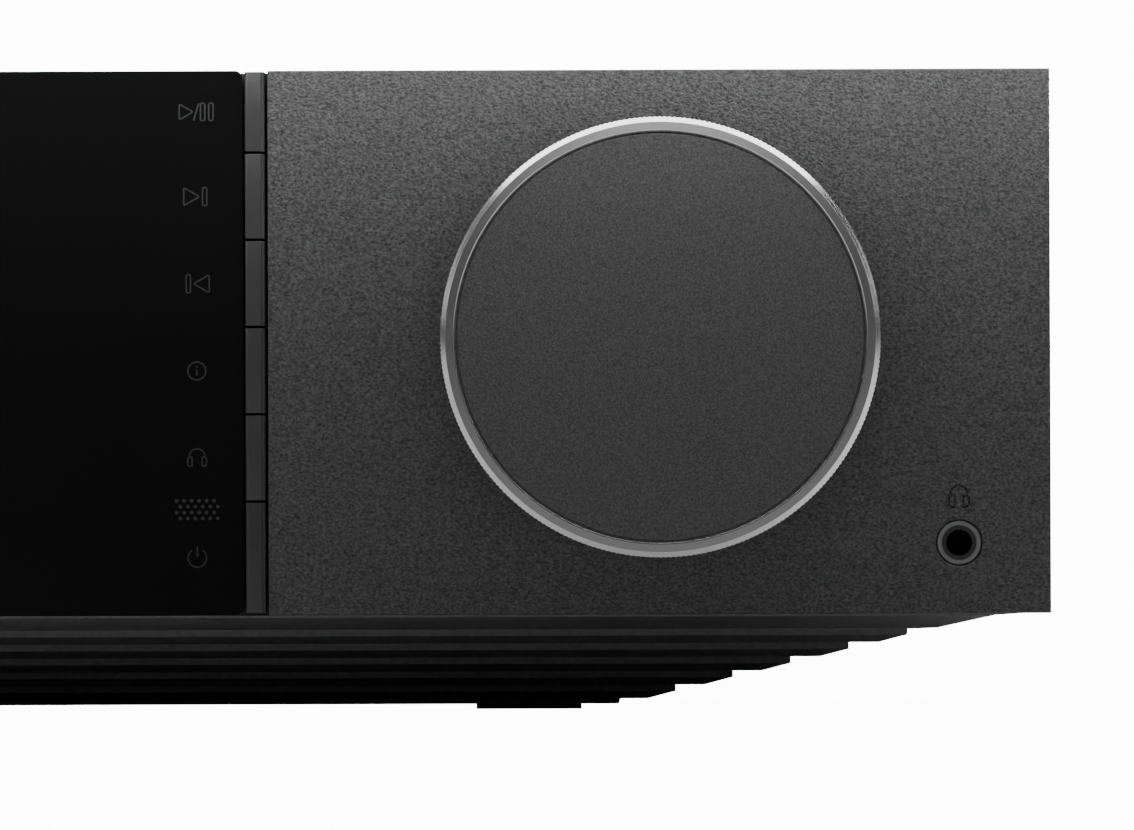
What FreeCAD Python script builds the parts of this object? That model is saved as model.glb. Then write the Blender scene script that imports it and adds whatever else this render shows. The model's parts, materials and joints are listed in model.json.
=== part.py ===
"""Desktop digital audio player and amplifier: a low, wide case on a stepped plinth.

Frame: millimetres, +X to the right seen from the front, -Y out of the front, +Z up.
The origin is on the floor, under the middle of the whole outline.
"""

import FreeCAD, Part
import math
import os

from FreeCAD import Vector

# ---- overall size -------------------------------------------------------------------------
WIDTH = 317.0
HEIGHT = 89.0
HALF = WIDTH / 2
FRONT_Y = -158.0  # front faces of the fascia and the display glass
REAR_Y = 156.0  # outer face of the rear panel
KNOB_FRONT_Y = -176.0
TERMINAL_END_Y = 176.0
BODY_BOTTOM = 13.4  # where the case meets the plinth
PAST = 1.0  # how far a cutter runs past the face it opens

# ---- stepped plinth -----------------------------------------------------------------------
PLINTH_BOTTOM = 0.75
PLINTH_FLOOR = 2.6  # top of the plinth's floor, inside
PLINTH_WALL = 4.0
FIRST_INSET = 7.8
FIRST_LIP = 0.3
FIRST_SLOPE = (7.75, 1.7)  # inward, downward
SECOND_INSET = 19.6
STEP_PITCH = 8.1
STEP_LIP = 0.93
STEP_SLOPE = (4.0, 1.05)
STEPS = 6
FOOT_SIZE = 15.0
FOOT_RECESS = 0.8
FOOT_PLAY = 0.2
FOOT_INSET = 73.0

# ---- case ----------------------------------------------------------------------------------
PANEL = 3.0  # side panel thickness
SHEET = 1.2  # steel sheet thickness
COVER = 1.6
SIDE_X = HALF - 0.6
WALL_X = SIDE_X - PANEL  # outer face of the tray walls
COVER_BOTTOM = HEIGHT - COVER
SUBFRAME_Y = (-148.0, -146.4)
SIDE_GAP = 0.2  # round the side panels and behind the fascia
SIDE_VENTS = (12, -20.0, 9.0, 4.0)  # count, first Y, pitch, width
SIDE_VENT_Z = (40.0, 70.0)
TOP_VENTS = (14, -12.0, 8.0, 3.0)
TOP_VENT_X = 75.0
TOP_VENT_LENGTH = 76.0
GROOVES = (8, 19.0, 8.6)  # count, first Z, pitch
GROOVE_DEPTH = 1.0
MAGNET = (1.0, 12.0, 6.0)  # thickness, length, height

# ---- front ---------------------------------------------------------------------------------
FASCIA_LEFT = 50.0
FASCIA_SKIN = 5.0
FASCIA_RIM = 3.0
GLASS_RIGHT = 46.5
GLASS_THICK = 3.0
SCREEN_X = (-136.0, 20.0)
SCREEN_Z = (20.5, 82.5)
SCREEN_Y = (-154.9, -150.5)
SCREEN_PLAY = 0.3
BEZEL_RIGHT = 44.2
BUTTON_X = (46.85, 49.6)
BUTTON_EDGES_Z = (13.6, 29.2, 41.3, 53.4, 65.5, 77.6, 89.0)
BUTTON_GAP = 0.35
BUTTON_PROUD = 0.6
BUTTON_BACK_Y = -154.3
BUTTON_NAMES = ("power", "output", "info", "previous", "next", "play")
STEM_SIZE = (1.4, 6.0)  # across, up
STEM_PLAY = 0.25
STEM_END_Y = -150.1
GUIDE_X = (44.4, 49.8)
GUIDE_FRONT_Y = -153.5
SUBFRAME_WINDOWS = (
    ((-120.0, 4.0), (28.0, 75.0)),  # display wiring
    ((44.0, 49.9), (16.0, 86.5)),  # key switches
    ((138.0, 153.5), (16.5, 31.0)),  # headphone jack
)

# ---- volume knob, source ring and their bearings -------------------------------------------
KNOB_X = 104.4
KNOB_Z = 51.5
KNOB_RADIUS = 30.35
KNOB_WALL = 2.6
KNOB_BACK_Y = -167.0
KNOB_WEB = (2.3, 5.0)  # front and back of the web, behind the knob's front
KNOB_HOLE = 24.0  # clearance hole in the fascia
DISC_RADIUS = 28.1
DISC_PLAY = 0.05
DISC_SUNK = 0.3
HUB_RADIUS = 6.0
HUB_END_Y = -160.0
SHAFT_RADIUS = 3.0
SHAFT_PLAY = 0.05
SHAFT_END_Y = -141.0
SOURCE_RADIUS = 29.0
SOURCE_BARREL = 22.8
SOURCE_Y = (-165.8, -158.8, -150.5)  # front, back of the finger ring, back of the barrel
SLEEVE_RADIUS = 20.8
SLEEVE_PLAY = 0.08
SLEEVE_BORE = 12.0
SLEEVE_FRONT_Y = -164.5
SLEEVE_FLANGE = (27.0, 1.6)  # radius, thickness
ENCODER_BUSH = 4.5
ENCODER_HALF = 6.5
ENCODER_Y = (-156.0, -145.0, -137.0)  # front of the bush, front and back of the body

# ---- headphone jack ------------------------------------------------------------------------
JACK_X = 145.75
JACK_Z = 23.2
JACK_BORE = 1.8
JACK_NOSE = 2.4
JACK_DEPTH = 15.0
JACK_SUNK = 0.1
JACK_BODY = (13.0, 12.0)  # across, up
JACK_BODY_Y = (-152.9, -141.0)
JACK_HOLE = 3.2  # clearance hole in the fascia
JACK_SINK = 1.2  # how much wider its countersink is
COLLAR_RADII = (2.42, 3.05)

# ---- circuit boards ------------------------------------------------------------------------
BOARD_Z = 22.0  # underside of the three flat boards
BOARD = 1.6
BOARD_TOP = BOARD_Z + BOARD
STANDOFF_RADIUS = 3.0

# ---- rear panel ----------------------------------------------------------------------------
POST_PLACES = tuple((x, z) for x in (86.0, 112.0) for z in (34.0, 60.0))
POST_BORE = 2.0
POST_RADIUS = 2.9
CAP_RADIUS = 6.5
CAP_PLAY = 0.08
CAP_FLATS = 12
RCA_PLACES = tuple((x, z) for x in (36.0, 54.0) for z in (34.0, 52.0))
RCA_RADIUS = 4.15
RCA_BORE = 1.6
RCA_LENGTH = 8.5
ANTENNA_PLACES = ((-64.0, 72.0), (20.0, 72.0))
ANTENNA_RADII = (2.2, 3.1)
ANTENNA_LENGTH = 8.0
ETHERNET = ((-31.0, -15.0), (23.6, 37.1))  # X span, Z span
USB = ((-6.0, 8.6), (23.6, 31.0))
HDMI = ((-56.0, -39.8), (23.6, 30.4))
OPTICAL = ((-74.0, -64.6), (23.6, 33.0))
INLET_X = -118.0
INLET_Z = 42.0
INLET_BODY = (27.0, 20.0)  # across, up
ROCKER_X = -90.0
ROCKER_Z = 42.0
ROCKER_BODY = (13.2, 19.2)
ROCKER_TILT = 9.0


# ---- helpers -------------------------------------------------------------------------------
X_AXIS = Vector(1, 0, 0)
Y_AXIS = Vector(0, 1, 0)
Z_AXIS = Vector(0, 0, 1)


def block(x, y, z):
    """Box given by its low and high value on each axis."""
    return Part.makeBox(x[1] - x[0], y[1] - y[0], z[1] - z[0], Vector(x[0], y[0], z[0]))


def around(middle, size):
    """Span of a given size round a middle."""
    return (middle - size / 2, middle + size / 2)


def rod(x, z, radius, y):
    """Round bar along Y."""
    return Part.makeCylinder(radius, y[1] - y[0], Vector(x, y[0], z), Y_AXIS)


def prism(corners, along):
    """Solid swept from a flat outline along a vector."""
    return Part.Face(Part.makePolygon(corners + corners[:1])).extrude(along)


def regular(sides, radius):
    """Corners of a regular polygon, as pairs."""
    turns = [2 * math.pi * side / sides for side in range(sides)]
    return [(radius * math.cos(turn), radius * math.sin(turn)) for turn in turns]


def turned(x, z, outline):
    """Solid of revolution about the Y line through (x, z); outline is (radius, y) points."""
    points = [Vector(x + radius, y, z) for radius, y in outline]
    face = Part.Face(Part.makePolygon(points + points[:1]))
    return face.revolve(Vector(x, 0, z), Y_AXIS, 360)


def rounded(shape, radius, along, keep=lambda edge: True):
    """Rounds the straight edges that run along one axis."""
    edges = [
        edge
        for edge in shape.Edges
        if isinstance(edge.Curve, Part.Line)
        and abs(abs(edge.tangentAt(edge.FirstParameter).dot(along)) - 1) < 1e-6
        and keep(edge)
    ]
    return shape.makeFillet(radius, edges)


def join(shapes):
    """One solid from solids that meet."""
    return shapes[0].fuse(shapes[1:]).removeSplitter()


def group(shapes):
    """Separate solids kept in one sub-part."""
    return Part.makeCompound(shapes)


# ---- plinth and feet -----------------------------------------------------------------------
def plinth_outline():
    """(inset, z) of the plinth's wall, from its top edge down its seven steps."""
    slope_in, slope_down = FIRST_SLOPE
    z = BODY_BOTTOM - FIRST_LIP
    outline = [(FIRST_INSET, BODY_BOTTOM), (FIRST_INSET, z)]
    z -= slope_down
    outline.append((FIRST_INSET + slope_in, z))
    slope_in, slope_down = STEP_SLOPE
    for step in range(STEPS):
        inset = SECOND_INSET + step * STEP_PITCH
        outline.append((inset, z))
        if step == STEPS - 1:
            outline.append((inset, PLINTH_BOTTOM))
            break
        z -= STEP_LIP
        outline.append((inset, z))
        z -= slope_down
        outline.append((inset + slope_in, z))
    return outline


def plinth_ring(inset, z):
    """Corners of the plinth's rectangle at one height."""
    x = HALF - inset
    front = FRONT_Y + inset
    rear = REAR_Y - inset
    return [Vector(-x, front, z), Vector(x, front, z), Vector(x, rear, z), Vector(-x, rear, z)]


def plinth():
    rings = [plinth_ring(inset, z) for inset, z in plinth_outline()]
    faces = [Part.Face(Part.makePolygon(ring + ring[:1])) for ring in (rings[0], rings[-1])]
    for upper, lower in zip(rings, rings[1:]):
        for here, there in ((0, 1), (1, 2), (2, 3), (3, 0)):
            corners = [upper[here], upper[there], lower[there], lower[here]]
            faces.append(Part.Face(Part.makePolygon(corners + corners[:1])))
    solid = Part.makeSolid(Part.makeShell(faces))
    if solid.Volume < 0:
        solid.reverse()
    last_inset = SECOND_INSET + (STEPS - 1) * STEP_PITCH
    pocket = plinth_ring(last_inset + PLINTH_WALL, 0)
    hollow = block(
        (pocket[0].x, pocket[1].x),
        (pocket[0].y, pocket[2].y),
        (PLINTH_FLOOR, BODY_BOTTOM + PAST),
    )
    solid = solid.cut(hollow)
    for recess in foot_blocks(FOOT_SIZE + 2 * FOOT_PLAY, PLINTH_BOTTOM - PAST):
        solid = solid.cut(recess)
    return solid


def foot_blocks(size, bottom):
    """Square blocks at the four corners, up to the top of the foot recesses."""
    x = HALF - FOOT_INSET
    z = (bottom, PLINTH_BOTTOM + FOOT_RECESS)
    return [
        block(around(side * x, size), around(y, size), z)
        for side in (-1, 1)
        for y in (FRONT_Y + FOOT_INSET, REAR_Y - FOOT_INSET)
    ]


def foot_pads():
    return group(foot_blocks(FOOT_SIZE, 0))


# ---- case ----------------------------------------------------------------------------------
def chassis_tray():
    rear = REAR_Y - SHEET
    outer = block((-WALL_X, WALL_X), (SUBFRAME_Y[1], rear), (BODY_BOTTOM, COVER_BOTTOM))
    inner = block(
        (SHEET - WALL_X, WALL_X - SHEET),
        (SUBFRAME_Y[1] - PAST, rear + PAST),
        (BODY_BOTTOM + SHEET, HEIGHT),
    )
    tray = outer.cut(inner)
    count, first, pitch, width = SIDE_VENTS
    for side in (-WALL_X, WALL_X):
        for slot in range(count):
            y = first + slot * pitch
            tray = tray.cut(block(around(side, 4 * SHEET), (y, y + width), SIDE_VENT_Z))
    return tray


def top_cover():
    plate = block((-SIDE_X, SIDE_X), (SUBFRAME_Y[0], REAR_Y), (COVER_BOTTOM, HEIGHT))
    edge_round = 1.0
    plate = rounded(plate, edge_round, Y_AXIS, lambda edge: edge.CenterOfMass.z > HEIGHT - 0.1)
    count, first, pitch, width = TOP_VENTS
    for x in (-TOP_VENT_X, TOP_VENT_X):
        for slot in range(count):
            y = first + slot * pitch
            z = (COVER_BOTTOM - PAST, HEIGHT + PAST)
            plate = plate.cut(block(around(x, TOP_VENT_LENGTH), (y, y + width), z))
    return plate


def side_panel(side):
    """Clip-on side panel with long shallow grooves that echo the plinth's steps."""
    x = sorted((side * WALL_X, side * SIDE_X))
    y = (SUBFRAME_Y[0], REAR_Y)
    panel = block(x, y, (BODY_BOTTOM + SIDE_GAP, COVER_BOTTOM - SIDE_GAP))
    outside = side * (SIDE_X + PAST)
    deep = side * (SIDE_X - GROOVE_DEPTH)
    count, first, pitch = GROOVES
    lead, floor, slope = 0.3, 2.0, 2.6
    for row in range(count):
        z = first + row * pitch
        corners = [
            Vector(outside, y[0] - PAST, z - lead),
            Vector(deep, y[0] - PAST, z),
            Vector(deep, y[0] - PAST, z + floor),
            Vector(outside, y[0] - PAST, z + floor + slope),
        ]
        panel = panel.cut(prism(corners, Vector(0, y[1] - y[0] + 2 * PAST, 0)))
    return panel


def panel_magnets():
    """Bar magnets inside the tray walls that hold the two side panels."""
    thick, length, height = MAGNET
    inner_wall = WALL_X - SHEET
    return group(
        [
            block((start, start + thick), around(y, length), around(z, height))
            for start in (-inner_wall, inner_wall - thick)
            for y in (-120, 128)
            for z in (28, 74)
        ]
    )


# ---- front ---------------------------------------------------------------------------------
def fascia_panel():
    """Machined front plate: a thick skin with a rim round its back."""
    plate = block((FASCIA_LEFT, HALF), (FRONT_Y, SUBFRAME_Y[0]), (BODY_BOTTOM, HEIGHT))
    back = block(
        (FASCIA_LEFT + FASCIA_RIM, HALF - FASCIA_RIM),
        (FRONT_Y + FASCIA_SKIN, SUBFRAME_Y[0] + PAST),
        (BODY_BOTTOM + FASCIA_RIM, HEIGHT - FASCIA_RIM),
    )
    plate = plate.cut(back)
    edge_round = 0.3
    plate = rounded(plate, edge_round, X_AXIS, lambda edge: edge.CenterOfMass.y < FRONT_Y + 0.1)
    through = (FRONT_Y - PAST, FRONT_Y + FASCIA_SKIN + PAST)
    plate = plate.cut(rod(KNOB_X, KNOB_Z, KNOB_HOLE, through))
    plate = plate.cut(rod(JACK_X, JACK_Z, JACK_HOLE, through))
    wide = JACK_HOLE + JACK_SINK
    countersink = turned(
        JACK_X, JACK_Z, [(0, through[0]), (wide, through[0]), (0, through[0] + wide)]
    )
    return plate.cut(countersink)


def display_glass():
    z = (BODY_BOTTOM, HEIGHT)
    pane = block((-HALF, GLASS_RIGHT), (FRONT_Y, FRONT_Y + GLASS_THICK), z)
    corner_round = 1.0
    return rounded(pane, corner_round, Y_AXIS)


def display_module():
    """Screen with its metal back, in the bezel's window."""
    screen = block(SCREEN_X, SCREEN_Y, SCREEN_Z)
    inset = 4.0
    shield = block(
        (SCREEN_X[0] + inset, SCREEN_X[1] - inset),
        (SCREEN_Y[1], SUBFRAME_Y[0]),
        (SCREEN_Z[0] + inset, SCREEN_Z[1] - inset),
    )
    return join([screen, shield])


def display_bezel():
    y = (FRONT_Y + GLASS_THICK, SUBFRAME_Y[0])
    z = (BODY_BOTTOM + SIDE_GAP, HEIGHT - SIDE_GAP)
    frame = block((SCREEN_PLAY - HALF, BEZEL_RIGHT), y, z)
    window = block(
        (SCREEN_X[0] - SCREEN_PLAY, SCREEN_X[1] + SCREEN_PLAY),
        (y[0] - PAST, y[1] + PAST),
        (SCREEN_Z[0] - SCREEN_PLAY, SCREEN_Z[1] + SCREEN_PLAY),
    )
    return frame.cut(window)


def button_spans():
    return {
        name: (low + BUTTON_GAP / 2, high - BUTTON_GAP / 2)
        for name, low, high in zip(BUTTON_NAMES, BUTTON_EDGES_Z, BUTTON_EDGES_Z[1:])
    }


def button_stem(span, y, play=0.0):
    """Flat stem behind a button's middle, or its slot when play is given."""
    across, up = STEM_SIZE
    return block(
        around(sum(BUTTON_X) / 2, across + 2 * play), y, around(sum(span) / 2, up + 2 * play)
    )


def button(span):
    cap = block(BUTTON_X, (FRONT_Y - BUTTON_PROUD, BUTTON_BACK_Y), span)
    edge_round = 0.25
    cap = rounded(cap, edge_round, Z_AXIS, lambda edge: edge.CenterOfMass.y < FRONT_Y)
    return join([cap, button_stem(span, (BUTTON_BACK_Y, STEM_END_Y))])


def button_guide():
    """Upright rail that the six button stems slide in."""
    y = (GUIDE_FRONT_Y, SUBFRAME_Y[0])
    rail = block(GUIDE_X, y, (BODY_BOTTOM + SIDE_GAP, HEIGHT - SIDE_GAP))
    for span in button_spans().values():
        rail = rail.cut(button_stem(span, (y[0] - PAST, y[1] + PAST), STEM_PLAY))
    return rail


def front_subframe():
    half = WALL_X - SIDE_GAP
    plate = block((-half, half), SUBFRAME_Y, (BODY_BOTTOM + SHEET, COVER_BOTTOM - SIDE_GAP))
    through = (SUBFRAME_Y[0] - PAST, SUBFRAME_Y[1] + PAST)
    encoder_hole = 11.5
    plate = plate.cut(rod(KNOB_X, KNOB_Z, encoder_hole, through))
    for x, z in SUBFRAME_WINDOWS:
        plate = plate.cut(block(x, through, z))
    return plate


def button_board():
    back = SUBFRAME_Y[1]
    return block((36.0, GUIDE_X[1] - 0.1), (back, back + BOARD), (16.0, 86.5))


def button_switches():
    x = sum(BUTTON_X) / 2
    body_y = (SUBFRAME_Y[1] - 1.5, SUBFRAME_Y[1])
    plunger_y = (body_y[0] - 1.3, body_y[0])
    switches = []
    for span in button_spans().values():
        z = sum(span) / 2
        body = block(around(x, 2.6), body_y, around(z, 6.0))
        plunger = block(around(x, 1.4), plunger_y, around(z, 1.4))
        switches.append(join([body, plunger]))
    return group(switches)


# ---- volume knob and source ring -----------------------------------------------------------
def knob_ring():
    """Bright rim of the knob with the web that carries the disc."""
    front = KNOB_FRONT_Y
    web_front, web_back = (front + depth for depth in KNOB_WEB)
    seat = DISC_RADIUS + DISC_PLAY
    inner = KNOB_RADIUS - KNOB_WALL
    inner_bevel = (0.3, 0.45)  # outward, back
    slope = 0.3
    outer_bevel = 0.75
    outline = [
        (HUB_RADIUS, web_back),
        (HUB_RADIUS, web_front),
        (seat, web_front),
        (seat, front + inner_bevel[1]),
        (seat + inner_bevel[0], front),
        (KNOB_RADIUS - outer_bevel, front + slope),
        (KNOB_RADIUS, front + slope + outer_bevel),
        (KNOB_RADIUS, KNOB_BACK_Y),
        (inner, KNOB_BACK_Y),
        (inner, web_back),
    ]
    return turned(KNOB_X, KNOB_Z, outline)


def knob_disc():
    front = KNOB_FRONT_Y + DISC_SUNK
    back = KNOB_FRONT_Y + KNOB_WEB[0]
    bevel = 0.2
    outline = [
        (0, front),
        (DISC_RADIUS - bevel, front),
        (DISC_RADIUS, front + bevel),
        (DISC_RADIUS, back),
        (0, back),
    ]
    return turned(KNOB_X, KNOB_Z, outline)


def shaft_front_y():
    """Front end of the shaft, just behind the web's face."""
    return KNOB_FRONT_Y + KNOB_WEB[0] + 2.0


def knob_hub():
    """Boss that joins the knob to its shaft."""
    front = KNOB_FRONT_Y + KNOB_WEB[0]
    boss = rod(KNOB_X, KNOB_Z, HUB_RADIUS, (front, HUB_END_Y))
    return boss.cut(rod(KNOB_X, KNOB_Z, SHAFT_RADIUS, (shaft_front_y(), HUB_END_Y + PAST)))


def volume_shaft():
    return rod(KNOB_X, KNOB_Z, SHAFT_RADIUS, (shaft_front_y(), SHAFT_END_Y))


def source_ring():
    """Second control behind the knob, turning on a sleeve of its own."""
    bore = SLEEVE_RADIUS + SLEEVE_PLAY
    front, step, back = SOURCE_Y
    bevel = 0.6
    outline = [
        (bore, front),
        (SOURCE_RADIUS - bevel, front),
        (SOURCE_RADIUS, front + bevel),
        (SOURCE_RADIUS, step),
        (SOURCE_BARREL, step),
        (SOURCE_BARREL, back),
        (bore, back),
    ]
    return turned(KNOB_X, KNOB_Z, outline)


def ring_sleeve():
    """Fixed sleeve, bolted to the subframe, that the source ring turns on."""
    flange_radius, flange_thick = SLEEVE_FLANGE
    flange_y = SUBFRAME_Y[0] - flange_thick
    outline = [
        (SLEEVE_BORE, SLEEVE_FRONT_Y),
        (SLEEVE_RADIUS, SLEEVE_FRONT_Y),
        (SLEEVE_RADIUS, flange_y),
        (flange_radius, flange_y),
        (flange_radius, SUBFRAME_Y[0]),
        (SLEEVE_BORE, SUBFRAME_Y[0]),
    ]
    return turned(KNOB_X, KNOB_Z, outline)


def volume_encoder():
    """Rotary encoder: threaded bush in front of a square body."""
    front, body_front, body_back = ENCODER_Y
    bush = rod(KNOB_X, KNOB_Z, ENCODER_BUSH, (front, body_front))
    square = 2 * ENCODER_HALF
    body = block(around(KNOB_X, square), (body_front, body_back), around(KNOB_Z, square))
    bore_y = (front - PAST, SHAFT_END_Y + PAST)
    bore = rod(KNOB_X, KNOB_Z, SHAFT_RADIUS + SHAFT_PLAY, bore_y)
    return join([bush, body]).cut(bore)


def control_board():
    """Circuit board behind the knob that holds the encoder and the ring's sensor."""
    back = ENCODER_Y[2]
    return block((70.0, 152.0), (back, back + BOARD), (16.0, 86.0))


# ---- headphone jack ------------------------------------------------------------------------
def headphone_jack():
    across, up = JACK_BODY
    mouth = FRONT_Y + JACK_SUNK
    nose = rod(JACK_X, JACK_Z, JACK_NOSE, (mouth, JACK_BODY_Y[0] + PAST))
    body = block(around(JACK_X, across), JACK_BODY_Y, around(JACK_Z, up))
    bore = rod(JACK_X, JACK_Z, JACK_BORE, (mouth - PAST, mouth + JACK_DEPTH))
    return join([nose, body]).cut(bore)


def jack_collar():
    """Plated collar with a stepped lead-in for the plug."""
    inner, outer = COLLAR_RADII
    front = FRONT_Y + JACK_SUNK
    back = FRONT_Y + FASCIA_SKIN
    lead_in = (0.2, 0.4)  # outward, back
    bevel = 0.1
    outline = [
        (inner, front + lead_in[1]),
        (inner + lead_in[0], front),
        (outer - bevel, front),
        (outer, front + bevel),
        (outer, back),
        (inner, back),
    ]
    return turned(JACK_X, JACK_Z, outline)


# ---- rear panel and sockets ----------------------------------------------------------------
def opening(x, z, play=0.15):
    """Rectangular hole through the rear panel for a socket or its housing."""
    through = (REAR_Y - SHEET - PAST, REAR_Y + PAST)
    return block((x[0] - play, x[1] + play), through, (z[0] - play, z[1] + play))


def rear_panel():
    inside = WALL_X - SHEET - 0.1
    plate = block((-WALL_X, WALL_X), (REAR_Y - SHEET, REAR_Y), (BODY_BOTTOM, COVER_BOTTOM))
    flange_depth = 9.0
    flange = block(
        (-inside, inside),
        (REAR_Y - flange_depth, REAR_Y - SHEET),
        (COVER_BOTTOM - SHEET, COVER_BOTTOM),
    )
    plate = join([plate, flange])
    post_gap = 0.6
    for x, z in POST_PLACES:
        plate = plate.cut(rod(x, z, POST_RADIUS + post_gap, (REAR_Y - 2 * SHEET, REAR_Y + PAST)))
    for x, z in (ETHERNET, USB, HDMI, OPTICAL):
        plate = plate.cut(opening(x, z))
    for x, z, (across, up) in (
        (INLET_X, INLET_Z, INLET_BODY),
        (ROCKER_X, ROCKER_Z, ROCKER_BODY),
    ):
        plate = plate.cut(opening(around(x, across), around(z, up)))
    return plate


def socket_shell(spans, depth, wall, tongue=None):
    """Metal shell open to the rear, with an optional contact tongue inside."""
    x, z = spans
    proud = 0.6
    y = (REAR_Y - depth, REAR_Y + proud)
    shell = block(x, y, z)
    hollow = block(
        (x[0] + wall, x[1] - wall), (y[0] + wall, y[1] + PAST), (z[0] + wall, z[1] - wall)
    )
    shell = shell.cut(hollow)
    if tongue:
        across, low, high = tongue
        tongue_y = (y[0] + wall / 2, y[1] - 2.0)
        bar = block(around(sum(x) / 2, across), tongue_y, (z[0] + low, z[0] + high))
        shell = join([shell, bar])
    return shell


def ethernet_socket():
    return socket_shell(ETHERNET, 16.0, 1.0)


def usb_socket():
    return socket_shell(USB, 14.0, 0.6, (10.0, 0.9, 2.0))


def hdmi_socket():
    return socket_shell(HDMI, 12.0, 0.6, (10.0, 0.9, 1.6))


def optical_socket():
    return socket_shell(OPTICAL, 10.0, 1.2)


def rca_sockets():
    """Phono sockets, each a shell on a round flange that seats on the panel."""
    flange = 1.0
    outline = [
        (RCA_BORE, REAR_Y + RCA_LENGTH),
        (RCA_RADIUS, REAR_Y + RCA_LENGTH),
        (RCA_RADIUS, REAR_Y + flange),
        (RCA_RADIUS + 1.2, REAR_Y + flange),
        (RCA_RADIUS + 1.2, REAR_Y),
        (RCA_BORE, REAR_Y),
    ]
    return group([turned(x, z, outline) for x, z in RCA_PLACES])


def antenna_sockets():
    inner, outer = ANTENNA_RADII
    y = (REAR_Y, REAR_Y + ANTENNA_LENGTH)
    hole_y = (REAR_Y - PAST, y[1] + PAST)
    return group(
        [rod(x, z, outer, y).cut(rod(x, z, inner, hole_y)) for x, z in ANTENNA_PLACES]
    )


def speaker_posts():
    """Fixed threaded cores of the speaker terminals, bored for banana plugs."""
    y = (REAR_Y - 10.0, TERMINAL_END_Y - 0.4)
    bore_y = (REAR_Y, TERMINAL_END_Y + PAST)
    return group(
        [rod(x, z, POST_RADIUS, y).cut(rod(x, z, POST_BORE, bore_y)) for x, z in POST_PLACES]
    )


def terminal_plate():
    """Insulating plate round the speaker terminals."""
    y = (REAR_Y, REAR_Y + 2.5)
    margin = 13.0
    low, high = POST_PLACES[0], POST_PLACES[-1]
    plate = block(
        (low[0] - margin, high[0] + margin), y, (low[1] - margin, high[1] + margin)
    )
    corner_round = 4.0
    plate = rounded(plate, corner_round, Y_AXIS)
    for x, z in POST_PLACES:
        plate = plate.cut(rod(x, z, POST_RADIUS + 0.05, (y[0] - PAST, y[1] + PAST)))
    return plate


def terminal_cap(x, z):
    """Screw cap of one speaker terminal, with flats for the fingers."""
    start = REAR_Y + 3.0
    corners = [Vector(x + across, start, z + up) for across, up in regular(CAP_FLATS, CAP_RADIUS)]
    body = prism(corners, Vector(0, TERMINAL_END_Y - start, 0))
    bore_y = (start - PAST, TERMINAL_END_Y + PAST)
    return body.cut(rod(x, z, POST_RADIUS + CAP_PLAY, bore_y))


def mains_inlet():
    """Recessed inlet with three flat pins."""
    across, up = INLET_BODY
    margin = 4.0
    flange_y = (REAR_Y, REAR_Y + 2.0)
    flange = block(around(INLET_X, across + margin), flange_y, around(INLET_Z, up + margin))
    flange = rounded(flange, margin / 2, Y_AXIS)
    body = block(around(INLET_X, across), (REAR_Y - 20, REAR_Y), around(INLET_Z, up))
    wall_x, wall_z = 1.4, 1.8
    recess = block(
        around(INLET_X, across - 2 * wall_x),
        (REAR_Y - 15, flange_y[1] + PAST),
        around(INLET_Z, up - 2 * wall_z),
    )
    upper_corners = [
        edge
        for edge in recess.Edges
        if abs(edge.tangentAt(edge.FirstParameter).y) > 0.9 and edge.CenterOfMass.z > INLET_Z
    ]
    corner_cut = 3.5
    inlet = join([flange, body]).cut(recess.makeChamfer(corner_cut, upper_corners))
    pins = [
        block(around(INLET_X + x, 2.0), (REAR_Y - 16, REAR_Y - 1), around(INLET_Z + z, 4.0))
        for x, z in ((-7, -2), (0, 2), (7, -2))
    ]
    return join([inlet] + pins)


def rocker_frame():
    across, up = ROCKER_BODY
    margin_x, margin_z = 2.4, 2.8
    flange_y = (REAR_Y, REAR_Y + 1.6)
    flange = block(around(ROCKER_X, across + margin_x), flange_y, around(ROCKER_Z, up + margin_z))
    body = block(around(ROCKER_X, across), (REAR_Y - 14, REAR_Y), around(ROCKER_Z, up))
    wall = 1.2
    well = block(
        around(ROCKER_X, across - 2 * wall),
        (REAR_Y - 9, flange_y[1] + PAST),
        around(ROCKER_Z, up - 2 * wall),
    )
    return join([flange, body]).cut(well)


def power_rocker():
    """Rocker of the mains switch, resting on its lower half."""
    half_width = 5.1
    pivot_y = REAR_Y - 2.5
    ridge_y = REAR_Y + 1.6
    outline = [
        (pivot_y, -7.6),
        (ridge_y, -7.4),
        (ridge_y - 1.0, 0),
        (ridge_y, 7.4),
        (pivot_y, 7.6),
        (pivot_y - 2.1, 0),
    ]
    corners = [Vector(ROCKER_X - half_width, y, ROCKER_Z + up) for y, up in outline]
    rocker = prism(corners, Vector(2 * half_width, 0, 0))
    rocker.rotate(Vector(ROCKER_X, pivot_y, ROCKER_Z), X_AXIS, -ROCKER_TILT)
    return rocker


# ---- inside --------------------------------------------------------------------------------
def flat_board(x, y):
    """Circuit board lying on its pillars."""
    return block(x, y, (BOARD_Z, BOARD_TOP))


def main_board():
    """Preamplifier and input board, under the rear sockets."""
    board = flat_board((-84, 66), (70, 148))
    chips = [
        block((-16, 2), (92, 110), (BOARD_TOP, BOARD_TOP + 2)),
        block((22, 34), (90, 102), (BOARD_TOP, BOARD_TOP + 1.5)),
        block((40, 52), (90, 102), (BOARD_TOP, BOARD_TOP + 1.5)),
    ]
    return join([board] + chips)


def streaming_module():
    """Screened network module standing on the main board."""
    base = block((-70, -30), (84, 124), (BOARD_TOP, BOARD_TOP + BOARD))
    can_bottom = BOARD_TOP + BOARD
    can = block((-68, -32), (86, 122), (can_bottom, can_bottom + 5))
    return join([base, rounded(can, 1.0, Z_AXIS)])


def standing_can(x, y, radius, height):
    """Capacitor standing on a board."""
    return Part.makeCylinder(radius, height, Vector(x, y, BOARD_TOP))


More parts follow.
